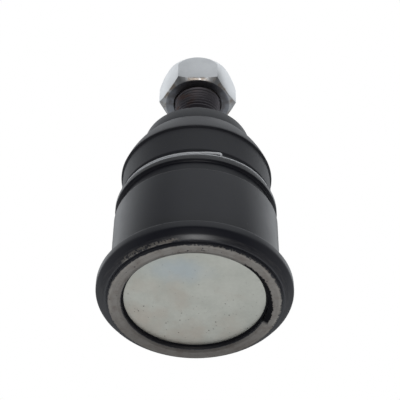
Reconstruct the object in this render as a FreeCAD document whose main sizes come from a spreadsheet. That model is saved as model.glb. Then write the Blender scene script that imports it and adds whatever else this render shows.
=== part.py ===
"""Press-in suspension ball joint with dust boot and stud nut.

The joint stands on its crimped lip, with Z along the stud. A forged housing holds a
ball stud in two plastic bearings, which a disc spring and a crimped cover keep
under load. A rubber boot, held by two wire rings, covers the mouth.
All sizes are in millimetres.
"""
import FreeCAD, Part
import math
import os

import Sketcher

FULL_TURN = 360
NUT_SIDES = 6
WIRE_SIDES = 8

SIZES = {
    # housing, from the crimped lip at the bottom to the mouth at the top
    "lip_inner_radius": 22.5,
    "lip_outer_radius": 26.8,
    "lip_edge_round": 0.35,
    "lip_slope_run": 1.3,
    "lip_slope_rise": 0.45,
    "lip_thickness": 2.75,
    "crease_depth": 1.1,
    "crease_radius": 27.2,
    "under_face_radius": 28.9,
    "under_face_height": 2.0,
    "flange_radius": 30.5,
    "flange_edge_height": 3.7,
    "flange_top_height": 6.3,
    "flange_edge_break": 0.35,
    "press_radius": 26.5,
    "press_top_height": 32.7,
    "lead_chamfer": 0.3,
    "clip_floor_radius": 25.2,
    "clip_groove_width": 4.4,
    "land_radius": 26.4,
    "land_width": 1.6,
    "land_edge_break": 0.15,
    "boot_floor_radius": 21.6,
    "boot_groove_width": 4.4,
    "mouth_rim_radius": 22.9,
    "mouth_rim_width": 1.7,
    "mouth_rim_break": 0.4,
    # bore of the housing and the way out for the stud
    "bore_radius": 19.2,
    "cone_start_height": 28.5,
    "shoulder_height": 34.3,
    "shoulder_radius": 15.0,
    "retaining_radius": 13.6,
    "tilt_limit_angle": 22,
    "mouth_clearance": 0.6,
    # cover plate and its seal
    "cap_recess": 1.75,
    "cap_face_radius": 21.9,
    "cap_thickness": 2.4,
    "cap_step": 1.0,
    "cap_step_run": 0.6,
    "cap_rim_radius": 24.4,
    "cap_rim_clearance": 0.1,
    "seal_clearance": 0.05,
    "seal_rise": 0.55,
    # disc spring and bearings
    "spring_height": 1.8,
    "spring_thickness": 1.0,
    "spring_outer_radius": 18.4,
    "spring_inner_radius": 9.0,
    "bearing_clearance": 0.1,
    "ball_clearance": 0.15,
    "bearing_split_gap": 0.8,
    "bearing_split_height": 23.6,
    "bearing_opening_height": 33.8,
    "grease_hole_radius": 5.0,
    # ball stud
    "ball_height": 24.0,
    "ball_radius": 16.0,
    "neck_radius": 7.5,
    "neck_beyond_mouth": 0.8,
    "collar_bottom_height": 55.0,
    "collar_radius": 10.2,
    "taper_bottom_height": 66.0,
    "taper_top_height": 82.5,
    "taper_small_radius": 8.25,
    "taper_ratio": 0.125,
    "runout_radius": 7.0,
    "runout_width": 1.6,
    "thread_radius": 8.0,
    "stud_end_height": 109.0,
    "stud_end_chamfer": 1.2,
    # rubber boot
    "boot_clearance": 0.3,
    "foot_radius": 25.3,
    "foot_thickness": 0.55,
    "foot_slope": 0.3,
    "ring_floor_radius": 24.4,
    "ring_floor_width": 2.75,
    "ring_shoulder_rise": 0.5,
    "band_bottom_radius": 24.9,
    "band_top_radius": 24.6,
    "band_length": 10.8,
    "dome_edge_radius": 25.25,
    "dome_edge_width": 0.3,
    "dome_edge_angle": 17,
    "dome_radius": 37.0,
    "dome_end_radius": 19.9,
    "neck_groove_radius": 16.8,
    "neck_groove_rise": 0.4,
    "neck_groove_width": 1.4,
    "skirt_inside_radius": 18.15,
    "skirt_bottom_rise": 0.55,
    "collar_foot_radius": 19.3,
    "collar_rim_radius": 18.1,
    "collar_length": 4.8,
    "collar_rim_round": 0.5,
    "boot_wall": 1.7,
    "neck_wall": 1.9,
    "collar_web": 2.6,
    "dish_radius": 12.0,
    "dish_depth": 1.4,
    "seal_lip_width": 1.0,
    "seal_lip_height": 0.9,
    # wire ring round the boot, and the ring round its neck
    "wire_diameter": 0.8,
    "wire_ring_clearance": 0.15,
    "wire_ring_rise": 2.2,
    "wire_turn_overlap": 0.04,
    "wire_second_turn_angle": 235,
    "wire_second_start_angle": 47.5,
    "neck_wire_diameter": 0.9,
    # hexagon nut
    "stud_beyond_nut": 2.1,
    "nut_height": 13.0,
    "nut_across_flats": 24.0,
    "nut_face_radius": 11.25,
    "nut_chamfer_angle": 30,
    "nut_crown_radius": 14.5,
    "nut_crown_depth": 8.9,
    "nut_turn_angle": 6.5,
    "thread_clearance": 0.05,
    "countersink_radius": 8.65,
}


class Measure:
    """A length with its number and the sheet formula that gives it."""

    def __init__(self, value, text):
        self.value = value
        self.text = text

    def join(self, other, sign, swap=False):
        if not isinstance(other, Measure):
            other = Measure(other, str(other))
        left, right = (other, self) if swap else (self, other)
        results = {"+": lambda a, b: a + b, "-": lambda a, b: a - b,
                   "*": lambda a, b: a * b, "/": lambda a, b: a / b}
        value = results[sign](left.value, right.value)
        return Measure(value, f"({left.text} {sign} {right.text})")

    def __add__(self, other):
        return self.join(other, "+")

    def __radd__(self, other):
        return self.join(other, "+", swap=True)

    def __sub__(self, other):
        return self.join(other, "-")

    def __rsub__(self, other):
        return self.join(other, "-", swap=True)

    def __mul__(self, other):
        return self.join(other, "*")

    def __rmul__(self, other):
        return self.join(other, "*", swap=True)

    def __truediv__(self, other):
        return self.join(other, "/")


def tangent(angle):
    return Measure(math.tan(math.radians(angle.value)), f"tan({angle.text} * 1 deg)")


def cosine(angle):
    return Measure(math.cos(math.radians(angle.value)), f"cos({angle.text} * 1 deg)")


def sine(angle):
    return Measure(math.sin(math.radians(angle.value)), f"sin({angle.text} * 1 deg)")


def root(amount):
    return Measure(math.sqrt(amount.value), f"sqrt({amount.text})")


class Sizes:
    """Reads a driving size by its name, as sizes.flange_radius."""

    def __getattr__(self, name):
        return Measure(SIZES[name], f"Sizes.{name}")


sizes = Sizes()
ZERO = Measure(0, "0")

doc = FreeCAD.newDocument("BallJoint")


def fill_sheet():
    sheet = doc.addObject("Spreadsheet::Sheet", "Sizes")
    for row, (name, value) in enumerate(SIZES.items(), start=1):
        sheet.set(f"A{row}", name)
        sheet.set(f"B{row}", str(value))
        sheet.setAlias(f"B{row}", name)
    doc.recompute()


def origin_plane(body, role):
    return next(plane for plane in body.Origin.OriginFeatures if plane.Role == role)


class Outline:
    """A closed half section in a sketch on the XZ plane: x is radius, y is height."""

    def __init__(self, body, name):
        self.sketch = body.newObject("Sketcher::SketchObject", name)
        self.sketch.AttachmentSupport = (origin_plane(body, "XZ_Plane"), "")
        self.sketch.MapMode = "FlatFace"
        self.origin = (-1, 1)
        self.height_axis = -2
        self.radius_axis = -1

    def bind(self, kind, edge, end, measure):
        index = self.sketch.addConstraint(
            Sketcher.Constraint(kind, *self.origin, edge, end, measure.value))
        self.sketch.setExpression(f"Constraints[{index}]", measure.text)

    def place(self, edge, end, radius, height):
        if radius is ZERO:
            self.sketch.addConstraint(
                Sketcher.Constraint("PointOnObject", edge, end, self.height_axis))
        else:
            self.bind("DistanceX", edge, end, radius)
        if height is ZERO:
            self.sketch.addConstraint(
                Sketcher.Constraint("PointOnObject", edge, end, self.radius_axis))
        else:
            self.bind("DistanceY", edge, end, height)

    def draw(self, corners):
        """A corner is (radius, height), or (radius, height, by) where the edge that
        leaves it is an arc through the point by."""
        edges = []
        for corner, following in zip(corners, corners[1:] + corners[:1]):
            start = FreeCAD.Vector(corner[0].value, corner[1].value, 0)
            end = FreeCAD.Vector(following[0].value, following[1].value, 0)
            if len(corner) == 2:
                edges.append(self.sketch.addGeometry(Part.LineSegment(start, end)))
                continue
            by_radius, by_height = corner[2]
            by = FreeCAD.Vector(by_radius.value, by_height.value, 0)
            edges.append(self.sketch.addGeometry(Part.Arc(start, by, end)))
        self.fix(corners, edges)

    def fix(self, corners, edges):
        tips = [self.tips(edge) for edge in edges]
        for number, edge in enumerate(edges):
            after = (number + 1) % len(edges)
            self.sketch.addConstraint(Sketcher.Constraint(
                "Coincident", edge, tips[number][1], edges[after], tips[after][0]))
            self.place(edge, tips[number][0], corners[number][0], corners[number][1])
        for corner, edge in zip(corners, edges):
            if len(corner) == 3:
                self.pass_through(edge, corner[2])

    def tips(self, edge):
        """Start and end of an edge, swapped on an arc that was drawn clockwise."""
        geometry = self.sketch.Geometry[edge]
        if isinstance(geometry, Part.LineSegment) or geometry.Circle.Axis.z > 0:
            return (1, 2)
        return (2, 1)

    def pass_through(self, edge, point):
        by = FreeCAD.Vector(point[0].value, point[1].value, 0)
        mark = self.sketch.addGeometry(Part.Point(by), True)
        self.place(mark, 1, *point)
        self.sketch.addConstraint(Sketcher.Constraint("PointOnObject", mark, 1, edge))


def turned(name, corners):
    """A body turned about Z from the corners of its half section."""
    body = doc.addObject("PartDesign::Body", name)
    outline = Outline(body, f"{name}_outline")
    outline.draw(corners)
    doc.recompute()
    turn = body.newObject("PartDesign::Revolution", f"{name}_turn")
    turn.Profile = outline.sketch
    turn.ReferenceAxis = (outline.sketch, ["V_Axis"])
    turn.Angle = FULL_TURN
    body.Tip = turn
    outline.sketch.Visibility = False
    return body


def sphere(name, radius, height):
    ball = doc.addObject("Part::Sphere", name)
    ball.setExpression("Radius", radius.text)
    ball.setExpression("Placement.Base.z", height.text)
    return ball


def cut(name, base, tool):
    result = doc.addObject("Part::Cut", name)
    result.Base = base
    result.Tool = tool
    return result


def fuse(name, first, second):
    result = doc.addObject("Part::Fuse", name)
    result.Base = first
    result.Tool = second
    return result


def wire_section(ring_radius, wire_diameter, height):
    """The eight corners of a wire's section, which keep its facets few."""
    corners = []
    for side in range(WIRE_SIDES):
        angle = math.tau * (side + 0.5) / WIRE_SIDES
        across = wire_diameter / 2 * round(math.cos(angle), 6)
        along = wire_diameter / 2 * round(math.sin(angle), 6)
        corners.append((ring_radius + across, height + along))
    return corners


def mouth_radius(height):
    """Radius of the cone that the neck sweeps at full tilt, with its clearance."""
    rise = height - sizes.ball_height
    neck = sizes.neck_radius / cosine(sizes.tilt_limit_angle)
    return rise * tangent(sizes.tilt_limit_angle) + neck + sizes.mouth_clearance


def cap_rim_bottom():
    return sizes.cap_recess + sizes.cap_step


def cap_rim_top():
    return cap_rim_bottom() + sizes.cap_thickness


def clip_groove_top():
    return sizes.press_top_height + sizes.clip_groove_width


def boot_groove_bottom():
    return clip_groove_top() + sizes.land_width


def boot_groove_top():
    return boot_groove_bottom() + sizes.boot_groove_width


def housing_top():
    return boot_groove_top() + sizes.mouth_rim_width


def build_housing():
    lead_height = sizes.press_top_height - sizes.lead_chamfer
    mouth_reach = sizes.neck_radius / cosine(sizes.tilt_limit_angle) + sizes.mouth_clearance
    throat_rise = (sizes.retaining_radius - mouth_reach) / tangent(sizes.tilt_limit_angle)
    throat_height = sizes.ball_height + throat_rise
    return turned("housing", [
        (sizes.lip_inner_radius, sizes.lip_slope_rise),
        (sizes.lip_inner_radius + sizes.lip_slope_run, ZERO),
        (sizes.lip_outer_radius - sizes.lip_edge_round, ZERO),
        (sizes.lip_outer_radius, sizes.lip_edge_round),
        (sizes.crease_radius, sizes.crease_depth),
        (sizes.under_face_radius, sizes.under_face_height),
        (sizes.flange_radius, sizes.flange_edge_height),
        (sizes.flange_radius, sizes.flange_top_height - sizes.flange_edge_break),
        (sizes.flange_radius - sizes.flange_edge_break, sizes.flange_top_height),
        (sizes.press_radius, sizes.flange_top_height),
        (sizes.press_radius, lead_height),
        (sizes.press_radius - sizes.lead_chamfer, sizes.press_top_height),
        (sizes.clip_floor_radius, sizes.press_top_height),
        (sizes.clip_floor_radius, clip_groove_top()),
        (sizes.land_radius, clip_groove_top()),
        (sizes.land_radius, boot_groove_bottom() - sizes.land_edge_break),
        (sizes.land_radius - sizes.land_edge_break, boot_groove_bottom()),
        (sizes.boot_floor_radius, boot_groove_bottom()),
        (sizes.boot_floor_radius, boot_groove_top()),
        (sizes.mouth_rim_radius, boot_groove_top()),
        (sizes.mouth_rim_radius, housing_top() - sizes.mouth_rim_break),
        (sizes.mouth_rim_radius - sizes.mouth_rim_break, housing_top()),
        (mouth_radius(housing_top()), housing_top()),
        (sizes.retaining_radius, throat_height),
        (sizes.retaining_radius, sizes.shoulder_height),
        (sizes.shoulder_radius, sizes.shoulder_height),
        (sizes.bore_radius, sizes.cone_start_height),
        (sizes.bore_radius, cap_rim_top()),
        (sizes.cap_rim_radius + sizes.cap_rim_clearance, cap_rim_top()),
        (sizes.cap_rim_radius + sizes.cap_rim_clearance, sizes.lip_thickness),
        (sizes.lip_inner_radius, sizes.lip_thickness),
    ])


def build_end_cap():
    face_top = sizes.cap_recess + sizes.cap_thickness
    inner_step = sizes.cap_face_radius - sizes.cap_step_run
    return turned("end_cap", [
        (ZERO, sizes.cap_recess),
        (inner_step, sizes.cap_recess),
        (sizes.cap_face_radius, sizes.cap_recess + sizes.cap_step_run / 2),
        (sizes.cap_face_radius, cap_rim_bottom()),
        (sizes.cap_rim_radius, cap_rim_bottom()),
        (sizes.cap_rim_radius, cap_rim_top()),
        (inner_step, cap_rim_top()),
        (inner_step - sizes.cap_step_run, face_top),
        (ZERO, face_top),
    ])


def build_cap_seal():
    inner = sizes.cap_face_radius + sizes.seal_clearance
    outer = sizes.lip_inner_radius - sizes.seal_clearance
    bottom = cap_rim_bottom() - sizes.seal_rise
    return turned("cap_seal", [
        (inner, bottom),
        (outer, bottom - sizes.seal_rise / 2),
        (outer, cap_rim_bottom()),
        (inner, cap_rim_bottom()),
    ])


def spring_bottom():
    return sizes.cap_recess + sizes.cap_thickness


def bearing_bottom():
    return spring_bottom() + sizes.spring_height


def build_preload_spring():
    drop = sizes.spring_height - sizes.spring_thickness
    return turned("preload_spring", [
        (sizes.spring_inner_radius, spring_bottom() + drop),
        (sizes.spring_outer_radius, spring_bottom()),
        (sizes.spring_outer_radius, spring_bottom() + sizes.spring_thickness),
        (sizes.spring_inner_radius, bearing_bottom()),
    ])


def socket_radius():
    return sizes.ball_radius + sizes.ball_clearance


def build_bearing_lower():
    outer = sizes.bore_radius - sizes.bearing_clearance
    cup = turned("bearing_lower_cup", [
        (sizes.grease_hole_radius, bearing_bottom()),
        (outer, bearing_bottom()),
        (outer, sizes.bearing_split_height),
        (sizes.grease_hole_radius, sizes.bearing_split_height),
    ])
    return cut("bearing_lower", cup, sphere("lower_socket", socket_radius(), sizes.ball_height))


def build_bearing_upper():
    outer = sizes.bore_radius - sizes.bearing_clearance
    top = sizes.shoulder_height - sizes.bearing_clearance
    lip_height = sizes.bearing_opening_height
    rise = lip_height - sizes.ball_height
    opening = root(socket_radius() * socket_radius() - rise * rise)
    cup = turned("bearing_upper_cup", [
        (opening, sizes.bearing_split_height + sizes.bearing_split_gap),
        (outer, sizes.bearing_split_height + sizes.bearing_split_gap),
        (outer, sizes.cone_start_height - sizes.bearing_clearance),
        (sizes.shoulder_radius - sizes.bearing_clearance, top),
        (opening + sizes.bearing_clearance, top),
        (opening, lip_height),
    ])
    return cut("bearing_upper", cup, sphere("upper_socket", socket_radius(), sizes.ball_height))


def taper_radius(height):
    """Radius of the stud's taper at a height."""
    below_top = sizes.taper_top_height - height
    return sizes.taper_small_radius + below_top * sizes.taper_ratio / 2


def neck_top_height():
    """Height where the neck may widen, because at full tilt it stays clear of the mouth."""
    rise = housing_top() - sizes.ball_height
    tilted = rise + sizes.neck_radius * sine(sizes.tilt_limit_angle)
    return sizes.ball_height + tilted / cosine(sizes.tilt_limit_angle) + sizes.neck_beyond_mouth


def build_ball_stud():
    neck_top = neck_top_height()
    shank = turned("stud_shank", [
        (ZERO, sizes.ball_height),
        (sizes.neck_radius, sizes.ball_height),
        (sizes.neck_radius, neck_top),
        (sizes.collar_radius, sizes.collar_bottom_height),
        (sizes.collar_radius, sizes.taper_bottom_height - (sizes.collar_radius
                                                           - taper_radius(sizes.taper_bottom_height))),
        (taper_radius(sizes.taper_bottom_height), sizes.taper_bottom_height),
        (sizes.taper_small_radius, sizes.taper_top_height),
        (sizes.runout_radius, sizes.taper_top_height + (sizes.taper_small_radius
                                                        - sizes.runout_radius) / 2),
        (sizes.runout_radius, sizes.taper_top_height + sizes.runout_width),
        (sizes.thread_radius, sizes.taper_top_height + sizes.runout_width
         + (sizes.thread_radius - sizes.runout_radius)),
        (sizes.thread_radius, sizes.stud_end_height - sizes.stud_end_chamfer),
        (sizes.thread_radius - sizes.stud_end_chamfer, sizes.stud_end_height),
        (ZERO, sizes.stud_end_height),
    ])
    return fuse("ball_stud", sphere("stud_ball", sizes.ball_radius, sizes.ball_height), shank)


def foot_bottom():
    return boot_groove_bottom() + sizes.boot_clearance


def ring_floor_bottom():
    return foot_bottom() + sizes.foot_thickness + sizes.foot_slope


def band_bottom():
    return ring_floor_bottom() + sizes.ring_floor_width + sizes.ring_shoulder_rise


def dome_bottom():
    return band_bottom() + sizes.band_length


def dome_start():
    return dome_bottom() + sizes.dome_edge_width


def dome_height(radius, inset):
    """Height on the dome, or on its inside at a wall's inset, at a radius."""
    centre_radius = sizes.dome_edge_radius - sizes.dome_radius * cosine(sizes.dome_edge_angle)
    centre_height = dome_start() - sizes.dome_radius * sine(sizes.dome_edge_angle)
    reach = sizes.dome_radius - inset
    across = radius - centre_radius
    return centre_height + root(reach * reach - across * across)


def neck_groove_bottom():
    return dome_height(sizes.dome_end_radius, ZERO) + sizes.neck_groove_rise


def build_boot():
    gap = sizes.boot_clearance
    seat_floor = sizes.boot_floor_radius + gap
    seat_top = boot_groove_top() - gap
    rim_inside = sizes.mouth_rim_radius + gap
    rim_pocket_top = housing_top() + gap
    foot_top = foot_bottom() + sizes.foot_thickness
    band_inside = sizes.band_top_radius - sizes.boot_wall
    dome_middle = (sizes.dome_edge_radius + sizes.dome_end_radius) / 2
    groove_top = neck_groove_bottom() + sizes.neck_groove_width
    skirt_bottom = dome_height(sizes.dome_end_radius, ZERO) + sizes.skirt_bottom_rise
    rim_top = groove_top + sizes.collar_length
    dish_height = rim_top - sizes.dish_depth
    lip_height = dish_height + sizes.seal_lip_height
    web_bottom = dish_height - sizes.collar_web
    lip_inside = taper_radius(lip_height) + gap
    web_inside = taper_radius(web_bottom) + gap
    neck_inside = sizes.neck_groove_radius - sizes.neck_wall
    dome_inside_end = sizes.dome_end_radius - sizes.boot_wall
    inside_end_height = dome_height(dome_inside_end, sizes.boot_wall)
    inside_middle = (band_inside + dome_inside_end) / 2
    return turned("boot", [
        (sizes.foot_radius, foot_bottom()),
        (sizes.foot_radius, foot_top),
        (sizes.ring_floor_radius, ring_floor_bottom()),
        (sizes.ring_floor_radius, ring_floor_bottom() + sizes.ring_floor_width),
        (sizes.band_bottom_radius, band_bottom()),
        (sizes.band_top_radius, dome_bottom()),
        (sizes.dome_edge_radius, dome_bottom()),
        (sizes.dome_edge_radius, dome_start(), (dome_middle, dome_height(dome_middle, ZERO))),
        (sizes.dome_end_radius, dome_height(sizes.dome_end_radius, ZERO)),
        (sizes.neck_groove_radius, neck_groove_bottom()),
        (sizes.neck_groove_radius, groove_top),
        (sizes.skirt_inside_radius, groove_top),
        (sizes.skirt_inside_radius, skirt_bottom),
        (sizes.collar_foot_radius, skirt_bottom),
        (sizes.collar_rim_radius, rim_top - sizes.collar_rim_round),
        (sizes.collar_rim_radius - sizes.collar_rim_round, rim_top),
        (sizes.dish_radius, dish_height),
        (lip_inside + sizes.seal_lip_width, dish_height),
        (lip_inside, lip_height),
        (web_inside, web_bottom),
        (neck_inside, web_bottom),
        (neck_inside, inside_end_height),
        (dome_inside_end, inside_end_height,
         (inside_middle, dome_height(inside_middle, sizes.boot_wall))),
        (band_inside, dome_height(band_inside, sizes.boot_wall)),
        (rim_inside, rim_pocket_top),
        (rim_inside, seat_top),
        (seat_floor, seat_top),
        (seat_floor, foot_bottom()),
    ])


def build_boot_wire_ring():
    """One wire wound twice: a full turn, and a second turn that ends part way round."""
    wire = sizes.wire_diameter
    radius = sizes.ring_floor_radius + sizes.wire_ring_clearance + wire / 2
    flat_to_flat = wire * round(math.cos(math.pi / WIRE_SIDES), 6)
    pitch = flat_to_flat - sizes.wire_turn_overlap
    middle = boot_groove_bottom() + sizes.wire_ring_rise
    low = middle - pitch / 2
    high = middle + pitch / 2
    full_turn = turned("wire_full_turn", wire_section(radius, wire, low))
    second_turn = turned("wire_second_turn", wire_section(radius, wire, high))
    second_turn.Tip.setExpression("Angle", f"{sizes.wire_second_turn_angle.text} * 1 deg")
    second_turn.setExpression("Placement.Rotation.Angle",
                              f"{sizes.wire_second_start_angle.text} * 1 deg")
    return fuse("boot_wire_ring", full_turn, second_turn)


def build_boot_neck_ring():
    wire = sizes.neck_wire_diameter
    radius = sizes.neck_groove_radius + sizes.wire_ring_clearance + wire / 2
    height = neck_groove_bottom() + sizes.neck_groove_width / 2
    return turned("boot_neck_ring", wire_section(radius, wire, height))


def build_hex_nut():
    corner_radius = sizes.nut_across_flats / cosine(Measure(30, "30")) / 2
    outer = corner_radius + sizes.thread_clearance
    chamfer = (outer - sizes.nut_face_radius) * tangent(sizes.nut_chamfer_angle)
    bore = sizes.thread_radius + sizes.thread_clearance
    sink = sizes.countersink_radius - bore
    top = sizes.stud_end_height - sizes.stud_beyond_nut
    bottom = top - sizes.nut_height
    crown = sizes.nut_crown_radius
    crown_centre = top - sizes.nut_crown_depth
    crown_start = crown_centre + root(crown * crown - outer * outer)
    crown_end = root(crown * crown - sizes.nut_crown_depth * sizes.nut_crown_depth)
    crown_middle = (outer + crown_end) / 2
    prism = doc.addObject("Part::Prism", "nut_hexagon")
    prism.Polygon = NUT_SIDES
    prism.setExpression("Circumradius", corner_radius.text)
    prism.setExpression("Height", sizes.nut_height.text)
    prism.setExpression("Placement.Base.z", bottom.text)
    prism.setExpression("Placement.Rotation.Angle", f"-{sizes.nut_turn_angle.text} * 1 deg")
    envelope = turned("nut_envelope", [
        (sizes.countersink_radius, bottom),
        (sizes.nut_face_radius, bottom),
        (outer, bottom + chamfer),
        (outer, crown_start,
         (crown_middle, crown_centre + root(crown * crown - crown_middle * crown_middle))),
        (crown_end, top),
        (sizes.countersink_radius, top),
        (bore, top - sink),
        (bore, bottom + sink),
    ])
    nut = doc.addObject("Part::Common", "hex_nut")
    nut.Base = prism
    nut.Tool = envelope
    return nut


def check_document(pieces):
    failed = [thing.Name for thing in doc.Objects
              if "Invalid" in thing.State or "Error" in thing.State]
    if failed:
        raise RuntimeError(f"these objects failed: {failed}")
    for piece in pieces:
        if piece.Shape.isNull() or not piece.Shape.isValid():
            raise RuntimeError(f"{piece.Label} has no valid shape")
        if len(piece.Shape.Solids) != 1:
            raise RuntimeError(f"{piece.Label} has {len(piece.Shape.Solids)} solids")


def main():
    fill_sheet()
    pieces = [
        build_housing(),
        build_end_cap(),
        build_cap_seal(),
        build_preload_spring(),
        build_bearing_lower(),
        build_bearing_upper(),
        build_ball_stud(),
        build_boot(),
        build_boot_wire_ring(),
        build_boot_neck_ring(),
        build_hex_nut(),
    ]
    doc.recompute()
    check_document(pieces)
    os.makedirs("parts", exist_ok=True)
    for piece in pieces:
        piece.Shape.exportStep(f"parts/{piece.Label}.step")
        print(piece.Label, round(piece.Shape.Volume), "mm3", piece.Shape.BoundBox)


main()
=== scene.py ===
# %% [markdown]
# # A press-in ball joint
#
# This joint lets a wheel carrier tilt and turn on its control arm. A steel housing is pressed
# into the arm up to its flange. Inside it a ball sits between two plastic bearings, and a thin
# cover, held by a crimped lip, closes the housing. A rubber boot keeps the grease in and the
# dirt out, two wires clamp the boot, and the threaded stud ends in a hexagon nut.
#
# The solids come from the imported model, which fixes every size and place. Here each visible
# piece gets the form and the finish that a camera sees: rounded edges, a real thread, a wound
# wire, coating, rubber, bare steel and zinc.

import math

import bmesh
import bpy
from mathutils import Matrix, Vector


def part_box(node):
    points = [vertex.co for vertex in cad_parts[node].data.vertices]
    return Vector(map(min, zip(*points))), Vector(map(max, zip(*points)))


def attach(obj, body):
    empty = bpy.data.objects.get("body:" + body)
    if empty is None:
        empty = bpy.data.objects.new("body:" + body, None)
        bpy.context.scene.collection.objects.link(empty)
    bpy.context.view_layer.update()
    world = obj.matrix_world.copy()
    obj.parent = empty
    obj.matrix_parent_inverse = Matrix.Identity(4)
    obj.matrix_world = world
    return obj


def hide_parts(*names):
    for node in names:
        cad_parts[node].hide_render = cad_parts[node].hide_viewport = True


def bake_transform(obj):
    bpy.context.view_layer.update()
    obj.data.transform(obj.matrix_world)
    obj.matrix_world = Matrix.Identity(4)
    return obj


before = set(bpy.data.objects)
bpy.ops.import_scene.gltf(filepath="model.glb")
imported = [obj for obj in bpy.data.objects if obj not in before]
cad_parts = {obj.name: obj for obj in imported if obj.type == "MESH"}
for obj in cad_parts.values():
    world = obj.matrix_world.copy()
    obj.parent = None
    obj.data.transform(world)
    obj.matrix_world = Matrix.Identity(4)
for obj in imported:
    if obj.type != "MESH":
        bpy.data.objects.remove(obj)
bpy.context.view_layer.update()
print("nodes:", sorted(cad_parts))

# %% [markdown]
# ## Lengths
#
# Blender works in metres and the drawing of this joint in millimetres, so outlines are written
# in millimetres and scaled once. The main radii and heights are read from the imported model, so
# that each new piece lies where its solid lies.

# %% Read the main sizes
MM = 0.001


def reach(node):
    """Outer radius, lowest and highest height of a node, in millimetres."""
    low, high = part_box(node)
    return high.x / MM, low.z / MM, high.z / MM


flange_radius, lip_height, mouth_height = reach("housing")
cover_radius, cover_face_height, cover_back_height = reach("end_cap")
_, boot_foot_height, collar_height = reach("boot")
_, _, stud_end_height = reach("ball_stud")
_, nut_near_height, nut_far_height = reach("hex_nut")
print(f"flange radius {flange_radius:.1f}, stud end at {stud_end_height:.1f} mm")

# %% [markdown]
# ## Turned parts
#
# Nearly every piece here comes off a lathe or out of a round mould. Its half outline is drawn
# as a chain of points, chosen corners are rounded with a bevel of the points, and the chain is
# spun about Z. Rounding the outline first is cheaper than rounding the finished rings, and it
# keeps the rings evenly spaced. A subdivision surface would also round the corners, but it
# would pull every edge away from its measured place.

# %% Turn an outline about Z
TURN_STEPS = 192
ROUND_STEPS = 4
SHARP_ANGLE = math.radians(32)
WELD = 1e-7


def chain(mesh, outline, closed):
    """Draws (radius, height) or (radius, height, rounding) corners as joined edges."""
    corners = [mesh.verts.new((corner[0] * MM, 0, corner[1] * MM)) for corner in outline]
    for first, second in zip(corners, corners[1:]):
        mesh.edges.new((first, second))
    if closed:
        mesh.edges.new((corners[-1], corners[0]))
    for corner, vertex in zip(outline, corners):
        if len(corner) == 3:
            bmesh.ops.bevel(mesh, geom=[vertex], offset=corner[2] * MM, offset_type="OFFSET",
                            segments=ROUND_STEPS, profile=0.5, affect="VERTICES", material=-1)


def spin(mesh, geometry, angle=math.tau, steps=TURN_STEPS, rise=0.0, whole=True):
    """Spins edges about Z. A rise, for the whole angle, makes a helix."""
    step_rise = Vector((0, 0, rise * MM / steps))
    return bmesh.ops.spin(mesh, geom=geometry, cent=(0, 0, 0), axis=(0, 0, 1), dvec=step_rise,
                          angle=angle, steps=steps, use_merge=whole)["geom_last"]


def edges_of(geometry):
    return [item for item in geometry if isinstance(item, bmesh.types.BMEdge)]


def fill(mesh, geometry):
    """Closes a ring of edges with a face."""
    bmesh.ops.contextual_create(mesh, geom=edges_of(geometry))


def turned(outline, closed=True, steps=TURN_STEPS):
    """A mesh turned from an outline. An open outline starts and ends on the axis."""
    mesh = bmesh.new()
    chain(mesh, outline, closed)
    spin(mesh, mesh.verts[:] + mesh.edges[:], steps=steps)
    return mesh


def arc(centre_radius, centre_height, radius, start, end, points):
    """Corners along an arc, by angle in degrees from the outward direction."""
    angles = [math.radians(start + (end - start) * step / (points - 1)) for step in range(points)]
    return [(centre_radius + radius * math.cos(angle), centre_height + radius * math.sin(angle))
            for angle in angles]


def soften_edges(mesh, width, steps):
    """Bevels every edge that is sharper than the limit for smooth shading."""
    sharp = [edge for edge in mesh.edges
             if len(edge.link_faces) == 2 and edge.calc_face_angle() > SHARP_ANGLE]
    bmesh.ops.bevel(mesh, geom=sharp, offset=width * MM, offset_type="OFFSET", segments=steps,
                    profile=0.5, affect="EDGES", material=-1, clamp_overlap=True)


def finished(mesh, name, finish, body, slot, *nodes):
    """Makes the object: welded, facing outwards, smooth but for its sharp edges."""
    bmesh.ops.remove_doubles(mesh, verts=mesh.verts, dist=WELD)
    bmesh.ops.recalc_face_normals(mesh, faces=mesh.faces)
    for face in mesh.faces:
        face.smooth = True
    for edge in mesh.edges:
        if len(edge.link_faces) == 2:
            edge.smooth = edge.calc_face_angle() < SHARP_ANGLE
    data = bpy.data.meshes.new(name)
    mesh.to_mesh(data)
    mesh.free()
    data.materials.append(finish)
    piece = bpy.data.objects.new(name, data)
    bpy.context.scene.collection.objects.link(piece)
    if body:
        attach(piece, body)
    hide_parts(*nodes)
    print(f"{name}: {len(data.polygons)} faces")
    return piece


# %% [markdown]
# ## Finishes as sums
#
# A finish is a small network of nodes. Written node by node it is hard to read, so a helper
# wraps a socket and lets Python's own signs add the Math nodes: `1 - mask` or `rust * 0.3`.
# Everything else, such as a noise or a mix, comes from one method that takes the node's type,
# its settings and what goes into its sockets. All patterns read the object's own coordinates
# in millimetres, so they stay on the metal when a piece moves.

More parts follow.
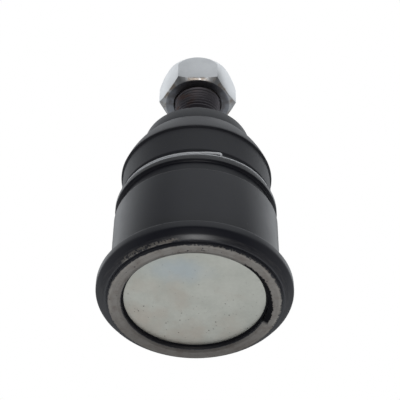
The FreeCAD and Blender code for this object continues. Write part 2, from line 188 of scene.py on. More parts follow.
# %% Wrap a socket
class Flow:
    """A socket of a finish. Sums with it add Math nodes to the same finish."""

    def __init__(self, tree, socket):
        self.tree = tree
        self.socket = socket

    def node(self, kind, settings=(), inputs=(), output=0):
        """Adds a node of any type: settings first, then a value or a link for each socket."""
        made = self.tree.nodes.new(kind)
        for name, value in dict(settings).items():
            setattr(made, name, value)
        for name, value in dict(inputs).items():
            if isinstance(value, Flow):
                self.tree.links.new(value.socket, made.inputs[name])
            else:
                made.inputs[name].default_value = value
        return Flow(self.tree, made.outputs[output])

    def maths(self, operation, *values):
        return self.node("ShaderNodeMath", {"operation": operation}, enumerate(values))

    def __add__(self, other):
        return self.maths("ADD", self, other)

    __radd__ = __add__

    def __sub__(self, other):
        return self.maths("SUBTRACT", self, other)

    def __rsub__(self, other):
        return self.maths("SUBTRACT", other, self)

    def __mul__(self, other):
        return self.maths("MULTIPLY", self, other)

    __rmul__ = __mul__

    def __pow__(self, other):
        return self.maths("POWER", self, other)


# %% Patterns that the finishes share
def start_finish(name):
    """A new finish and its place in millimetres on the object's own axes."""
    finish = bpy.data.materials.new(name)
    finish.use_nodes = True
    tree = finish.node_tree
    coordinates = Flow(tree, tree.nodes.new("ShaderNodeTexCoord").outputs["Object"])
    place = coordinates.node("ShaderNodeVectorMath", {"operation": "SCALE"},
                             {0: coordinates, "Scale": 1 / MM})
    return finish, place


def set_look(finish, height=None, height_mm=0.1, **looks):
    """Links or sets the shader's sockets, and a relief of height_mm where height is given."""
    shader = finish.node_tree.nodes["Principled BSDF"]
    if height is not None:
        looks["Normal"] = height.node("ShaderNodeBump", {}, {
            "Height": height, "Distance": height_mm * MM, "Strength": 1.0})
    for name, value in looks.items():
        socket = shader.inputs[name.replace("_", " ")]
        if isinstance(value, Flow):
            finish.node_tree.links.new(value.socket, socket)
        else:
            socket.default_value = value


def split(place):
    return [place.node("ShaderNodeSeparateXYZ", {}, {0: place}, output) for output in range(3)]


def polar(place):
    """Radius, angle in degrees and height of a place."""
    x, y, z = split(place)
    radius = (x * x + y * y) ** 0.5
    angle = x.maths("ARCTAN2", y, x) * math.degrees(1)
    return radius, angle, z


def rise(value, start, end):
    """Climbs smoothly from 0 at start to 1 at end."""
    return value.node("ShaderNodeMapRange", {"interpolation_type": "SMOOTHSTEP"}, {
        "Value": value, "From Min": start, "From Max": end, "To Min": 0.0, "To Max": 1.0})


def between(value, low, high, soft):
    """1 between low and high, and 0 outside, over a soft edge."""
    return rise(value, low - soft, low + soft) * (1 - rise(value, high - soft, high + soft))


def noise(place, size, detail=3.0, roughness=0.55, stretch=(1, 1, 1), shift=(0, 0, 0)):
    """Smooth blotches of about the given size in millimetres, from 0 to 1."""
    moved = place.node("ShaderNodeMapping", {}, {"Vector": place, "Scale": stretch,
                                                  "Location": shift})
    return place.node("ShaderNodeTexNoise", {}, {
        "Vector": moved, "Scale": 1 / size, "Detail": detail, "Roughness": roughness})


def specks(place, spacing, radius, share, shift=(0, 0, 0)):
    """Round dots: at most one in a cell of the given spacing, in a share of the cells."""
    moved = place.node("ShaderNodeMapping", {}, {"Vector": place, "Location": shift})
    look = {"Vector": moved, "Scale": 1 / spacing}
    distance = place.node("ShaderNodeTexVoronoi", {}, look)
    chance = split(place.node("ShaderNodeTexVoronoi", {}, look, 1))[0]
    dots = 1 - rise(distance, 0.6 * radius / spacing, radius / spacing)
    return dots * (1 - rise(chance, share - 0.01, share + 0.01))


def mix(mask, below, above):
    """The colour below where the mask is 0, and the colour above where it is 1."""
    inputs = {0: mask}
    for socket, colour in ((6, below), (7, above)):
        inputs[socket] = colour if isinstance(colour, Flow) else (*colour, 1.0)
    return mask.node("ShaderNodeMix", {"data_type": "RGBA"}, inputs, 2)


def blend_value(mask, below, above):
    return below + mask * (above - below)


def largest(*masks):
    """Joins masks: 1 wherever one of them is."""
    joined = masks[0]
    for mask in masks[1:]:
        joined = joined.maths("MAXIMUM", joined, mask)
    return joined


# %% [markdown]
# ## The housing's coating and its bare lip
#
# The housing is turned steel with a thin black coating, half glossy, with specks of dust. On the
# land above the ring groove the coating is painted paler, partly its own tone and partly painted
# light, and on the cone beside the lip a painted highlight lies in streaks. The lip was rolled over
# the cover after coating, and the tool wore its face down to bare, brownish steel with fine rings,
# painted darker towards the far side as painted shade. Along both edges of the lip the coating is
# torn, on one side it flaked off the flange too, and on the other sealant was squeezed out and
# stuck. Separate materials with a clean seam would look like tape, so one finish holds them all,
# and masks of radius, height and angle choose between them.
# Angles are in degrees about Z, from the X axis.

# %% Coating with a worn lip
BARE_INNER, BARE_OUTER, BARE_TOP = 22.75, 26.5, 0.55
SEALANT_START, SEALANT_END = -58, 15
FLAKED_INNER, FLAKED_OUTER, FLAKED_START, FLAKED_END = 27.4, 28.5, -147, -108
LAND_BOTTOM = 37.1


def torn(radius, place, edge, depth, size, shift=(0, 0, 0)):
    """A distance past an edge whose line wanders by a depth."""
    wander = noise(place, size, 6.0, 0.7, shift=shift) - 0.5
    return radius - edge + wander * (2 * depth)


def make_coating():
    finish, place = start_finish("black_coating")
    radius, angle, height = polar(place)
    around = radius.node("ShaderNodeCombineXYZ", {}, {0: radius * 9, 1: angle * 0.05})

    ragged = between(angle, -100, 20, 10) * 0.35 + 0.25
    outer_gap = radius - BARE_OUTER + (noise(place, 1.1, 7.0, 0.75) - 0.5) * ragged * 6
    inner_gap = torn(radius, place, BARE_INNER, 0.35, 0.8, (7, 0, 0))
    sealant_edge = 23.7 + rise(angle, -20, 20) * 0.75
    sealant_gap = torn(radius, place, sealant_edge, 1.1, 0.9, (0, 9, 0))
    sealant = (1 - rise(sealant_gap, -0.04, 0.04)) * between(angle, SEALANT_START, SEALANT_END, 2)
    smear = between(radius, 23.6, 24.5, 0.2) * between(angle, -112, -88, 4)
    sealant = largest(sealant, smear * rise(noise(place, 0.8, 5.0, 0.7), 0.56, 0.6))
    bare = rise(inner_gap, -0.03, 0.03) * (1 - rise(outer_gap, -0.03, 0.03))
    flaked = between(radius, FLAKED_INNER, FLAKED_OUTER, 0.15)
    flaked = flaked * between(angle, FLAKED_START, FLAKED_END, 5)
    flaked = flaked * (1 - rise(height, 1.9, 2.2)) * rise(noise(place, 1.3, 6.0, 0.7), 0.47, 0.5)
    bare = bare * (1 - rise(height, BARE_TOP - 0.1, BARE_TOP)) * (1 - sealant)
    pits = largest(specks(place, 1.0, 0.17, 0.22), specks(place, 2.1, 0.3, 0.2, (1, 0, 2)))
    bare = largest(bare * (1 - pits * between(radius, 22.8, 26.6, 0.2)), flaked)

    rings = noise(around, 1.0, 4.0, 0.6)
    stain = noise(place, 3.5, 5.0, 0.65)
    steel = mix(rings, (0.125, 0.115, 0.106), (0.36, 0.34, 0.315))
    steel = mix(rise(stain, 0.42, 0.7) * 0.5, steel, (0.14, 0.112, 0.096))
    burnished = between(radius, 25.7, 26.3, 0.25) * rise(noise(place, 6, 3.0), 0.4, 0.6)
    steel = mix(burnished * 0.5, steel, (0.33, 0.31, 0.28))
    # Painted shade: the bare steel of the lip darkens towards the far side, +Y.
    far_side = split(place)[1]
    steel = mix(rise(far_side, 2, 20) * 0.42, steel, (0.055, 0.048, 0.044))

    dust = largest(specks(place, 2.6, 0.09, 0.35), specks(place, 5.0, 0.16, 0.25, (3, 1, 2)))
    dust = dust * rise(height, 3.0, 4.0)
    coat = mix(noise(place, 14, 3.0), (0.012, 0.0125, 0.019), (0.016, 0.0165, 0.024))
    coat = mix(dust, coat, (0.20, 0.20, 0.21))
    # Painted highlight: a paler, streaky band on the cone between the crevice and the flange's rim,
    # where the lamp's highlight falls.
    along_edge = radius.node("ShaderNodeCombineXYZ", {}, {0: radius * 4, 1: angle * 0.12})
    painted_sheen = between(radius, 27.6, 29.1, 0.15) * (1 - rise(height, 1.9, 2.3))
    painted_sheen = painted_sheen * rise(noise(along_edge, 1.0, 5.0, 0.65), 0.35, 0.7)
    coat = mix(painted_sheen * 0.7, coat, (0.065, 0.063, 0.065))
    # The land above the groove is painted paler than the coat: partly its own tone, partly painted
    # light.
    coat = mix(rise(height, LAND_BOTTOM - 0.1, LAND_BOTTOM + 0.2), coat, (0.050, 0.051, 0.055))
    coat = mix(sealant, coat, (0.010, 0.010, 0.012))

    gloss = noise(place, 6, 4.0)
    orange_peel = noise(place, 0.45, 2.0)
    set_look(finish,
             Base_Color=mix(bare, coat, steel),
             Metallic=largest(bare, sealant),
             Roughness=blend_value(bare, 0.30 + gloss * 0.10 + dust * 0.3 + sealant * 0.3,
                                   0.36 + rings * 0.16),
             height=orange_peel * 0.12 + bare * (rings * 0.5 - 0.8) + sealant * stain * 2.0,
             height_mm=0.05)
    return finish


coating = make_coating()
print("finish:", coating.name)

# %% [markdown]
# ## The housing
#
# The outline follows the turned body: the lip with its slope down to the cover, a crevice where
# the rolled lip meets the flange, two cones up to the flange's rim, the press seat, the groove
# for a retaining ring, the land above it, the seat of the boot, and inside it the cone that
# clears the stud, the shoulder for the upper bearing and the bore. Small roundings on the outer
# edges catch the light as the real ones do, and the corner against the flange stays sharp.

# %% Turn the housing
LIP_INNER, LIP_TOP = 22.5, 2.75


def make_housing():
    lip_edge, lip_slope, lip_outer = 0.50, 1.3, 26.72
    crevice_radius, crevice_height = 26.95, 1.05
    foot_radius, foot_height = 27.65, 0.82
    cone_radius, cone_height = 29.05, 1.95
    flange_edge, flange_top = 3.75, 6.3
    press_radius, press_top, press_chamfer = 26.5, 32.7, 0.30
    clip_floor = 25.2
    land_radius, land_top = 26.4, 38.7
    seat_radius, seat_top = 21.6, 43.1
    mouth_rim, mouth_cone_radius = 22.9, 17.09
    throat_radius, throat_bottom, throat_top = 13.6, 34.3, 36.15
    shoulder_radius = 15.0
    bore_radius, bore_top = 19.2, 28.5
    outline = [
        (LIP_INNER, lip_edge, 0.12),
        (LIP_INNER + lip_slope, lip_height, 0.25),
        (lip_outer, lip_height, 0.22),
        (crevice_radius, crevice_height, 0.12),
        (foot_radius, foot_height, 0.30),
        (cone_radius, cone_height, 0.35),
        (flange_radius, flange_edge, 0.45),
        (flange_radius, flange_top, 0.38),
        (press_radius, flange_top),
        (press_radius, press_top - press_chamfer, 0.25),
        (press_radius - press_chamfer, press_top, 0.10),
        (clip_floor, press_top, 0.15),
        (clip_floor, LAND_BOTTOM, 0.25),
        (land_radius, LAND_BOTTOM, 0.06),
        (land_radius, land_top, 0.10),
        (seat_radius, land_top),
        (seat_radius, seat_top),
        (mouth_rim, seat_top, 0.15),
        (mouth_rim, mouth_height, 0.4),
        (mouth_cone_radius, mouth_height, 0.2),
        (throat_radius, throat_top, 0.3),
        (throat_radius, throat_bottom, 0.1),
        (shoulder_radius, throat_bottom),
        (bore_radius, bore_top),
        (bore_radius, cover_back_height),
        (cover_radius + 0.1, cover_back_height),
        (cover_radius + 0.1, LIP_TOP),
        (LIP_INNER, LIP_TOP),
    ]
    finished(turned(outline), "housing_body", coating, "housing", "black_housing", "housing")


make_housing()

# %% [markdown]
# ## Zinc on the cover and the nut
#
# The cover and the nut are zinc plated: a pale grey that isn't a mirror, with cloudy patches
# from noise at two sizes. They share that ground, and each adds its own marks. The nut has a
# brown painted reflection round its near edge, and its bearing face is darkened as painted
# shade. The cover is greener, with a faint blue tint where the film is thicker, a warm zone, and
# small dark pits that go both into the colour and into the relief.

# %% Plated zinc
def make_zinc(name, dark, light):
    """The plating that both pieces share: its finish, patterns and colour."""
    finish, place = start_finish(name)
    clouds = noise(place, 7, 4.0, 0.6)
    fine = noise(place, 1.2, 5.0, 0.65, shift=(4, 4, 4))
    colour = mix(rise(clouds, 0.3, 0.7), dark, light)
    colour = mix(fine * 0.45, colour, tuple(0.9 * channel for channel in dark))
    return finish, place, clouds, fine, colour


def make_nut_zinc():
    finish, place, clouds, fine, colour = make_zinc(
        "nut_zinc", (0.62, 0.63, 0.64), (0.70, 0.71, 0.72))
    height = split(place)[2]
    # Painted reflection: the zinc round the near edge turns brown in patches, standing in for the
    # dark boot and thread that it mirrors.
    near_edge = 1 - rise(height, nut_near_height + 0.4, nut_near_height + 1.6)
    painted_brown_reflection = near_edge * rise(noise(place, 3.5, 4.0, 0.6, shift=(9, 2, 0)), 0.42, 0.6)
    colour = mix(painted_brown_reflection * 0.7, colour, (0.30, 0.22, 0.15))
    # Painted shade: the bearing face, which looks at the boot and the thread, is painted nearly
    # black.
    painted_shade_face = 1 - rise(height, nut_near_height + 0.02, nut_near_height + 0.2)
    colour = mix(painted_shade_face * 0.85, colour, (0.09, 0.095, 0.11))
    set_look(finish, Base_Color=colour, Metallic=1.0, Roughness=0.26 + fine * 0.10 + painted_brown_reflection * 0.1,
             height=fine * 0.3 + clouds * 0.5, height_mm=0.05)
    return finish


def make_cover_zinc():
    finish, place, clouds, fine, colour = make_zinc(
        "cover_zinc", (0.50, 0.505, 0.455), (0.58, 0.58, 0.525))
    x, y, _ = split(place)
    tint = 1 - rise((((x + 6) * 0.55) ** 2 + (y + 13) ** 2) ** 0.5 + clouds * 7, 4, 11)
    colour = mix(tint * 0.55, colour, (0.44, 0.51, 0.56))
    warm = rise(noise(place, 10, 4.0, shift=(20, 0, 0)) + (y - x * 0.3) * 0.011, 0.45, 0.85)
    colour = mix(warm * 0.6, colour, (0.50, 0.435, 0.37))
    lower = rise(y + noise(place, 9, 3.0) * 14, 2, 16)
    small = specks(place, 0.9, 0.14, 0.24) * (0.4 + lower * 0.6)
    middle = specks(place, 1.9, 0.26, 0.36, (2, 5, 0)) * (0.25 + lower * 0.75)
    large = specks(place, 5.5, 0.30, 0.30, (1, 2, 0))
    pits = largest(small, middle, large)
    colour = mix(pits * 0.85, colour, (0.09, 0.08, 0.07))
    set_look(finish, Base_Color=colour, Metallic=0.9 - pits * 0.6,
             Roughness=0.40 + fine * 0.12 + pits * 0.2,
             height=fine * 0.5 - pits * 0.8 + clouds * 0.8, height_mm=0.06)
    return finish


cover_zinc = make_cover_zinc()
nut_zinc = make_nut_zinc()
print("finishes:", cover_zinc.name, nut_zinc.name)

# %% [markdown]
# ## The cover and its sealant
#
# The cover is pressed sheet: a flat face, a rounded edge and a flat rim that the lip holds. The
# gap between its edge and the lip is filled with black sealant, which the camera sees as a dark
# ring. Its own finish, dull and lumpy, follows with the rubber's.

# %% Press the cover
def make_cover():
    face_radius, rim_depth = 21.9, 1.0
    step_outer, step_inner, step_depth = 21.3, 20.7, 1.0
    outline = [
        (0, cover_face_height),
        (face_radius, cover_face_height, 0.14),
        (face_radius, cover_face_height + rim_depth, 0.2),
        (cover_radius, cover_face_height + rim_depth, 0.2),
        (cover_radius, cover_back_height, 0.2),
        (step_outer, cover_back_height, 0.4),
        (step_inner, cover_back_height - step_depth, 0.4),
        (0, cover_back_height - step_depth),
    ]
    finished(turned(outline, closed=False), "cover_plate", cover_zinc, "housing", "zinc_plate",
             "end_cap")


make_cover()

# %% [markdown]
# ## Rubber
#
# The boot is moulded rubber, nearly black and satin, with a very fine grain, a few specks of
# dust and pinholes, and a bloom that makes some zones a little paler. A rubber's shine is
# broad, so its roughness is higher than the coating's. The sealant is duller still: it swallows
# most of the light, so its shine is turned down.

# %% Boot rubber
def make_rubber():
    finish, place = start_finish("boot_rubber")
    bloom = noise(place, 10, 4.0, 0.6)
    grain = noise(place, 0.35, 3.0, 0.6)
    dust = specks(place, 3.2, 0.10, 0.3)
    holes = specks(place, 3.8, 0.17, 0.18, (5, 5, 5))
    colour = mix(bloom, (0.021, 0.0215, 0.028), (0.029, 0.0295, 0.036))
    colour = mix(dust, colour, (0.22, 0.22, 0.23))
    colour = mix(holes, colour, (0.004, 0.004, 0.004))
    set_look(finish, Base_Color=colour, Roughness=0.40 + grain * 0.12 + bloom * 0.08,
             height=grain * 0.3 - holes, height_mm=0.05)
    return finish


def make_sealant_finish():
    finish, place = start_finish("black_sealant")
    lumps = noise(place, 0.9, 4.0, 0.65)
    set_look(finish, Base_Color=mix(lumps, (0.006, 0.006, 0.008), (0.014, 0.014, 0.017)),
             Roughness=0.6 + lumps * 0.2, height=lumps, height_mm=0.15)
    finish.node_tree.nodes["Principled BSDF"].inputs["Specular IOR Level"].default_value = 0.15
    return finish


rubber = make_rubber()
sealant_black = make_sealant_finish()
print("finishes:", rubber.name, sealant_black.name)


# %% Lay the sealant ring
def make_sealant():
    inner, outer = 21.95, LIP_INNER - 0.05
    bottom = 1.9
    outline = [
        (inner, bottom, 0.1),
        (outer, bottom - 0.3, 0.1),
        (outer, LIP_TOP),
        (inner, LIP_TOP),
    ]
    finished(turned(outline), "cover_sealant", sealant_black, "housing", "black_rubber",
             "cap_seal")


make_sealant()

# %% [markdown]
# ## The boot
#
# From the foot up: a foot that stands on the housing's land, a groove for the wire, a slightly
# conical band, a dome whose lower edge stands out over the band, a groove for the neck wire, and
# a collar with a dished face that seals on the taper. The collar's skirt hangs over the neck
# groove, so the camera sees no gap there. The dome is an arc. When the stud tilts, the foot
# stays with the housing's tilting plane and the collar goes with the stud.

# %% Mould the boot
DOME_EDGE, DOME_START, DOME_RADIUS, DOME_LEAN = 25.25, 54.2, 37.0, 17
DOME_END = 19.9
NECK_FLOOR, NECK_BOTTOM, NECK_TOP = 16.8, 65.39, 66.79
WIRE_FLOOR = 24.4


def make_boot():
    wall = 1.7
    foot_radius, groove_bottom, groove_top = 25.3, 39.85, 42.6
    band_foot, band_top, band_bottom, band_edge = 24.9, 24.6, 43.1, 53.9
    seat_floor, seat_top, seat_rim, band_inside = 21.9, 42.8, 23.2, 45.1
    skirt_inside, skirt_outside, skirt_bottom = 18.15, 19.3, 65.54
    collar_radius, dish_rim, dish_radius, dish_depth = 18.1, 17.4, 12.0, 1.4
    seal_rim, seal_radius, seal_inside = 10.6, 9.35, 9.42
    throat_radius, throat_height = 14.9, 67.56
    lean = math.radians(DOME_LEAN)
    centre = DOME_EDGE - DOME_RADIUS * math.cos(lean)
    centre_height = DOME_START - DOME_RADIUS * math.sin(lean)
    outer_end = math.degrees(math.acos((DOME_END - centre) / DOME_RADIUS))
    inner_end = math.degrees(math.acos((DOME_END - wall - centre) / (DOME_RADIUS - wall)))
    outside = arc(centre, centre_height, DOME_RADIUS, DOME_LEAN, outer_end, 14)
    inside = arc(centre, centre_height, DOME_RADIUS - wall, inner_end, DOME_LEAN, 12)
    outline = [
        (foot_radius, boot_foot_height, 0.15),
        (foot_radius, boot_foot_height + 0.55, 0.15),
        (WIRE_FLOOR, groove_bottom, 0.15),
        (WIRE_FLOOR, groove_top, 0.25),
        (band_foot, band_bottom, 0.25),
        (band_top, band_edge, 0.12),
        (DOME_EDGE, band_edge, 0.10),
        *outside[:-1],
        (*outside[-1], 0.7),
        (NECK_FLOOR, NECK_BOTTOM, 0.4),
        (NECK_FLOOR, NECK_TOP, 0.4),
        (skirt_inside, NECK_TOP, 0.2),
        (skirt_inside, skirt_bottom, 0.2),
        (skirt_outside, skirt_bottom, 0.3),
        (collar_radius, collar_height, 0.7),
        (dish_rim, collar_height, 0.3),
        (dish_radius, collar_height - dish_depth, 0.5),
        (seal_rim, collar_height - dish_depth, 0.1),
        (seal_radius, collar_height - 0.5, 0.12),
        (seal_inside, throat_height, 0.3),
        (throat_radius, throat_height, 0.6),
        (throat_radius, inside[0][1], 0.5),
        *inside,
        (seat_rim, band_inside, 0.3),
        (seat_rim, seat_top),
        (seat_floor, seat_top),
        (seat_floor, boot_foot_height),
    ]
    boot = finished(turned(outline), "dust_boot", rubber, None, "black_rubber", "boot")
    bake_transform(boot)


make_boot()

# %% [markdown]
# ## Spring wire
#
# The wire round the boot's foot is bright drawn steel. It is wound a bit more than one and a
# half turns, lies slightly tilted and bowed in its groove, and its upper end is lifted and
# bent down over the lower turn. A circle spun with a rise gives the turns, a last steeper spin
# the lifted end, and short extrusions the hook. A curve with a bevel would be the other way,
# but its ends are harder to bend square.

# %% Bright wire
def make_wire_finish():
    finish, place = start_finish("bright_wire")
    _, angle, height = polar(place)
    drawn = noise(angle.node("ShaderNodeCombineXYZ", {}, {0: angle * 0.4, 1: height * 12}),
                  1.0, 3.0)
    colour = mix(drawn, (0.90, 0.91, 0.93), (0.98, 0.985, 1.0))
    set_look(finish, Base_Color=colour, Metallic=0.15, Roughness=0.30 + drawn * 0.12,
             height=drawn * 0.4, height_mm=0.02)
    return finish


bright_wire = make_wire_finish()

# %% Wind the boot wire
WIRE = 0.8
WIRE_SIDES = 12


def wire_section(mesh, radius, height, diameter):
    """A circle across the X axis, as the start of a ring."""
    stand = Matrix.Translation((radius * MM, 0, height * MM)) @ Matrix.Rotation(math.pi / 2, 4, "X")
    circle = bmesh.ops.create_circle(mesh, segments=WIRE_SIDES, radius=diameter * MM / 2,
                                     matrix=stand)["verts"]
    return circle + list({edge for vertex in circle for edge in vertex.link_edges})


def extrude_on(mesh, geometry, move, turn=0.0, axis=(1, 0, 0)):
    """Extrudes an open end by a move in millimetres, turning the new end about its centre."""
    new = bmesh.ops.extrude_edge_only(mesh, edges=edges_of(geometry))["geom"]
    end = [item for item in new if isinstance(item, bmesh.types.BMVert)]
    bmesh.ops.translate(mesh, verts=end, vec=Vector(move) * MM)
    centre = sum((vertex.co for vertex in end), Vector()) / len(end)
    bmesh.ops.rotate(mesh, verts=end, cent=centre, matrix=Matrix.Rotation(turn, 3, axis))
    ends = set(end)
    return end + [edge for edge in edges_of(new) if set(edge.verts) <= ends]


def make_boot_wire():
    start, lifted_from, end = 47.5, 626.0, 640.6
    lowest, lift = 40.40, 0.75
    hook_step, hook_length, bend = 0.2, 0.5, math.radians(-30)
    tilt_x, tilt_y, bow = 0.0203, 0.0209, 0.00072
    mesh = bmesh.new()
    section = wire_section(mesh, WIRE_FLOOR + 0.1 + WIRE / 2, lowest, WIRE)
    fill(mesh, section)
    turns = (lifted_from - start) / 360
    section = spin(mesh, section, math.tau * turns, 260, WIRE * turns, whole=False)
    rest = (end - lifted_from) / 360
    section = spin(mesh, section, math.tau * rest, 14, WIRE * rest + lift, whole=False)
    bmesh.ops.rotate(mesh, verts=mesh.verts, cent=(0, 0, 0),
                     matrix=Matrix.Rotation(math.radians(start), 3, "Z"))
    along = Vector((math.sin(math.radians(-end)), math.cos(math.radians(end)), 0))
    outward = (math.cos(math.radians(end)), math.sin(math.radians(end)), 0)
    for _ in range(3):
        section = extrude_on(mesh, section, along * hook_step, bend, outward)
        along = Matrix.Rotation(bend, 3, outward) @ along
    section = extrude_on(mesh, section, along * hook_length)
    fill(mesh, section)
    for vertex in mesh.verts:
        x, y = vertex.co.x, vertex.co.y
        vertex.co.z += x * tilt_x + y * tilt_y + x * x / MM * bow
    finished(mesh, "boot_wire", bright_wire, "housing", "bright_wire", "boot_wire_ring")


make_boot_wire()


# %% Close the neck wire
def make_neck_wire():
    diameter = 0.9
    mesh = bmesh.new()
    section = wire_section(mesh, NECK_FLOOR + 0.1 + diameter / 2, (NECK_BOTTOM + NECK_TOP) / 2,
                           diameter)
    spin(mesh, section)
    finished(mesh, "neck_wire", bright_wire, "tilt", "bright_wire", "boot_neck_ring")


make_neck_wire()

# %% [markdown]
# ## The stud and its thread
#
# The stud is one forged piece: ball, neck, collar, taper and an M16 thread of 1.5 mm pitch. A
# screw thread isn't a stack of rings. One tooth's closed section, whose root lies a little below
# the core's surface, is spun with a rise of one pitch each turn, and the first and last sections
# sink into the core as the run-outs of a rolled thread do.

# %% Dark stud steel
def make_stud_steel():
    finish, place = start_finish("stud_steel")
    _, angle, height = polar(place)
    patches = noise(place, 5, 4.0, 0.6)
    grain = noise(place, 0.5, 3.0)
    colour = mix(patches, (0.170, 0.158, 0.175), (0.270, 0.250, 0.270))
    rusty = between(angle, -175, -105, 18) * rise(noise(place, 3, 4.0, shift=(3, 3, 3)), 0.45, 0.65)
    colour = mix(rusty * 0.7, colour, (0.26, 0.16, 0.135))
    set_look(finish, Base_Color=colour, Metallic=0.55, Roughness=0.42 + grain * 0.16,
             height=grain * 0.3, height_mm=0.04)
    return finish


stud_steel = make_stud_steel()

# %% Turn the stud
THREAD_RADIUS, PITCH = 8.0, 1.5
THREAD_DEPTH = 0.613 * PITCH
BALL_RADIUS, BALL_HEIGHT = 16.0, 24.0


def make_stud():
    neck, neck_top = 7.5, 49.2
    collar, collar_bottom, collar_top = 10.2, 55.0, 65.1
    large_taper, taper_bottom = 9.28, 66.0
    core = THREAD_RADIUS - THREAD_DEPTH
    neck_foot = math.degrees(math.acos(neck / BALL_RADIUS))
    small_taper, taper_top = 8.25, 82.5
    outline = [
        *arc(0, BALL_HEIGHT, BALL_RADIUS, -90, neck_foot, 40),
        (neck, neck_top, 1.5),
        (collar, collar_bottom, 0.8),
        (collar, collar_top, 0.4),
        (large_taper, taper_bottom, 0.2),
        (small_taper, taper_top, 0.2),
        (core, taper_top + 0.6, 0.2),
        (core, stud_end_height - 1.2),
        (core - 0.4, stud_end_height, 0.3),
        (0, stud_end_height),
    ]
    mesh = turned(outline, closed=False, steps=96)
    add_thread(mesh, core)
    finished(mesh, "ball_stud_threaded", stud_steel, "stud", "dark_steel", "ball_stud")


def add_thread(mesh, core):
    start_height, end_height = 84.1, stud_end_height - 1.6
    steps_per_turn = 60
    root_half, crest_half, buried = PITCH * 0.40, PITCH * 0.07, 0.1
    run_out, run_out_start, sunk_depth = 1.2, 0.8, 0.3
    tooth = [(core - buried, -root_half), (THREAD_RADIUS, -crest_half),
             (THREAD_RADIUS, crest_half), (core - buried, root_half)]
    before = set(mesh.verts)
    chain(mesh, [(radius, start_height + along) for radius, along in tooth], closed=True)
    section = [vertex for vertex in mesh.verts if vertex not in before]
    edges = list({edge for vertex in section for edge in vertex.link_edges})
    fill(mesh, edges)
    length = end_height - start_height
    turns = length / PITCH
    last = spin(mesh, section + edges, math.tau * turns, round(turns * steps_per_turn), length,
                whole=False)
    fill(mesh, last)
    for vertex in mesh.verts:
        if vertex not in before:
            height = vertex.co.z / MM
            from_ends = min(height - start_height, end_height - height) + run_out_start
            fade = max(min(1.0, from_ends / run_out), 0.0)
            radius = vertex.co.xy.length / MM
            sunk = core - sunk_depth + (radius - core + sunk_depth) * fade
            vertex.co.xy *= sunk / radius


make_stud()

# %% [markdown]
# ## The nut
#
# A nut is turned first and milled second, and it is made the same way here. An outline with the
# bore, the countersinks, a 30 degree chamfer at the near end and a crown at the far end is spun,
# and then six planes cut the flats. The cut through a cone is a curve, so each flat gets the
# arched ends that real nuts have.

# %% Turn and mill the nut
ACROSS_FLATS = 24.0
CORNER_TURN = -6.5


def make_nut():
    face_radius, sink_radius, bore_radius = 11.25, 8.65, 7.55
    corner_radius = ACROSS_FLATS / 2 / math.cos(math.radians(30))
    chamfer = (corner_radius - face_radius) * math.tan(math.radians(30))
    sink = sink_radius - bore_radius
    crown_radius, crown_depth = 14.5, 8.9
    crown_start = math.degrees(math.acos(corner_radius / crown_radius))
    crown_end = math.degrees(math.asin(crown_depth / crown_radius))
    outline = [
        (sink_radius, nut_near_height, 0.1),
        (face_radius, nut_near_height, 0.25),
        (corner_radius, nut_near_height + chamfer),
        *arc(0, nut_far_height - crown_depth, crown_radius, crown_start, crown_end, 12),
        (sink_radius, nut_far_height),
        (bore_radius, nut_far_height - sink),
        (bore_radius, nut_near_height + sink),
    ]
    mesh = turned(outline, steps=144)
    bmesh.ops.remove_doubles(mesh, verts=mesh.verts, dist=WELD)
    for flat in range(6):
        angle = math.radians(CORNER_TURN + 60 * flat + 30)
        normal = Vector((math.cos(angle), math.sin(angle), 0))
        cut = bmesh.ops.bisect_plane(mesh, geom=mesh.verts[:] + mesh.edges[:] + mesh.faces[:],
                                     dist=WELD, plane_co=normal * ACROSS_FLATS / 2 * MM,
                                     plane_no=normal, clear_outer=True)["geom_cut"]
        fill(mesh, cut)
    soften_edges(mesh, 0.13, 2)
    finished(mesh, "hexagon_nut", nut_zinc, "nut", "zinc_plate", "hex_nut")


make_nut()

# %% [markdown]
# ## Inner pieces
#
# The bearings and the disc spring are hidden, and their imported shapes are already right. They
# keep their own meshes and only get a finish, with the same care for grain and colour.

# %% Finish the inner pieces
def make_plain_finish(name, dark, light, metallic, roughness, grain_size):
    finish, place = start_finish(name)
    cloud = noise(place, 6, 3.0)
    grain = noise(place, grain_size, 3.0)
    set_look(finish, Base_Color=mix(cloud, dark, light), Metallic=metallic,
             Roughness=roughness + grain * 0.15, height=grain * 0.3, height_mm=0.03)
    return finish


def refinish(node, finish):
    for material_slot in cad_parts[node].material_slots:
        material_slot.material = finish


bearing_plastic = make_plain_finish("bearing_plastic", (0.62, 0.60, 0.52), (0.74, 0.72, 0.64),
                                    0.0, 0.45, 0.6)
spring_steel = make_plain_finish("spring_steel", (0.16, 0.16, 0.17), (0.26, 0.26, 0.27),
                                 0.9, 0.30, 0.4)
for node in ("bearing_lower", "bearing_upper"):
    refinish(node, bearing_plastic)
refinish("preload_spring", spring_steel)
print("inner finishes:", bearing_plastic.name, spring_steel.name)

# %% [markdown]
# ## Light, floor and camera
#
# The joint was photographed close up in a bright surround, from in front of its cover and below
# its flange. Black, half glossy parts show mostly what they mirror, so the surround is shaped by
# direction. It is brightest at the sides behind the joint, which makes the edges pale. It is dim
# where the photographer stands, and dark straight behind and behind below, which keeps the
# steep cones black. A soft patch above in front gives the cylinder its sheen, and a pale patch
# below is what the cover mirrors. One small lamp near the photographer gives the flange its
# bright spot. The camera sees plain white behind the joint.
#
# The floor lies under the lip. The photograph's camera is below that plane, so the floor shows
# only its upper side, and only to the camera.

# %% Place the camera
CAMERA_PLACE = Vector((-30.09, -278.75, -237.16)) * MM
VIEW = Vector((0.0788, 0.7001, 0.7097)).normalized()
UP = Vector((-0.0908, -0.7039, 0.7045))


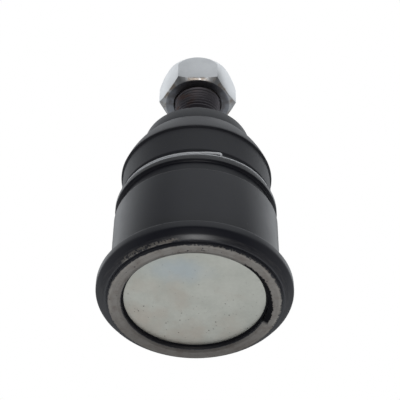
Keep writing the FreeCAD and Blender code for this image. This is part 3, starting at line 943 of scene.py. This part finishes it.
def make_camera():
    data = bpy.data.cameras.new("camera")
    data.lens = 108
    data.sensor_width = 36
    data.clip_start = 0.01
    right = VIEW.cross(UP).normalized()
    up = right.cross(VIEW)
    camera = bpy.data.objects.new("camera", data)
    camera.matrix_world = Matrix((right, up, -VIEW)).transposed().to_4x4()
    camera.location = CAMERA_PLACE
    bpy.context.scene.collection.objects.link(camera)
    bpy.context.scene.camera = camera


make_camera()

# %% Light the surround
BELOW = Vector((0.08, 0.70, -0.71))
ABOVE = Vector((0.08, -0.70, 0.71))
FRONT_LIGHT, SIDE_LIGHT = 0.34, 0.76
UPPER_PATCH, LOWER_PATCH = 0.38, 0.58
SURROUND_COLOUR = (0.94, 0.97, 1, 1)


def make_world():
    world = bpy.data.worlds.new("studio")
    world.use_nodes = True
    bpy.context.scene.world = world
    tree = world.node_tree
    direction = Flow(tree, tree.nodes.new("ShaderNodeTexCoord").outputs["Generated"])

    def toward(axis):
        return direction.node("ShaderNodeVectorMath", {"operation": "DOT_PRODUCT"},
                              {0: direction, 1: axis}, 1)

    behind, below, above = toward(VIEW), toward(BELOW), toward(ABOVE)
    light = 0.02 + rise(behind, -0.8, -0.2) * FRONT_LIGHT + rise(behind, 0.3, 0.8) * SIDE_LIGHT
    light = light * (1 - 0.95 * rise(behind, 0.93, 0.985))
    light = light * (1 - 0.8 * rise(below, 0.0, 0.3) * rise(behind, 0.4, 0.7))
    light = light + UPPER_PATCH * rise(above, 0.72, 0.97)
    light = light + LOWER_PATCH * rise(below, 0.70, 0.92) * (1 - rise(behind, 0.1, 0.5))
    paths = Flow(tree, tree.nodes.new("ShaderNodeLightPath").outputs["Is Camera Ray"])
    studio = direction.node("ShaderNodeBackground", {}, {"Color": SURROUND_COLOUR,
                                                         "Strength": light})
    white = direction.node("ShaderNodeBackground", {}, {"Color": (1, 1, 1, 1), "Strength": 1.0})
    seen = direction.node("ShaderNodeMixShader", {}, {0: paths, 1: studio, 2: white})
    tree.links.new(seen.socket, tree.nodes["World Output"].inputs["Surface"])


def make_lamp(name, place, aim, width, watts):
    data = bpy.data.lights.new(name, "AREA")
    data.size = width * MM
    data.energy = watts
    lamp = bpy.data.objects.new(name, data)
    lamp.location = Vector(place) * MM
    lamp.rotation_euler = (Vector(aim) * MM - lamp.location).to_track_quat("-Z", "Y").to_euler()
    lamp.visible_camera = False
    bpy.context.scene.collection.objects.link(lamp)


make_world()
make_lamp("lamp_below", (-25, -280, -430), (0, 0, 20), 120, 0.65)
bpy.context.scene.view_settings.view_transform = "Standard"

# %% Lay the floor
def make_floor():
    gap, half = 0.1, 1500
    mesh = bmesh.new()
    bmesh.ops.create_grid(mesh, x_segments=1, y_segments=1, size=half * MM,
                          matrix=Matrix.Translation((0, 0, (lip_height - gap) * MM)))
    data = bpy.data.meshes.new("floor")
    mesh.to_mesh(data)
    mesh.free()
    floor = bpy.data.objects.new("floor", data)
    bpy.context.scene.collection.objects.link(floor)
    finish = bpy.data.materials.new("pale_floor")
    finish.use_nodes = True
    tree = finish.node_tree
    camera_ray = Flow(tree, tree.nodes.new("ShaderNodeLightPath").outputs["Is Camera Ray"])
    behind = Flow(tree, tree.nodes.new("ShaderNodeNewGeometry").outputs["Backfacing"])
    pale = behind.node("ShaderNodeBsdfDiffuse", {}, {"Color": (0.86, 0.86, 0.86, 1)})
    clear = behind.node("ShaderNodeBsdfTransparent")
    shown = behind.node("ShaderNodeMixShader", {}, {0: camera_ray * (1 - behind), 1: clear,
                                                    2: pale})
    tree.links.new(shown.socket, tree.nodes["Material Output"].inputs["Surface"])
    data.materials.append(finish)


make_floor()
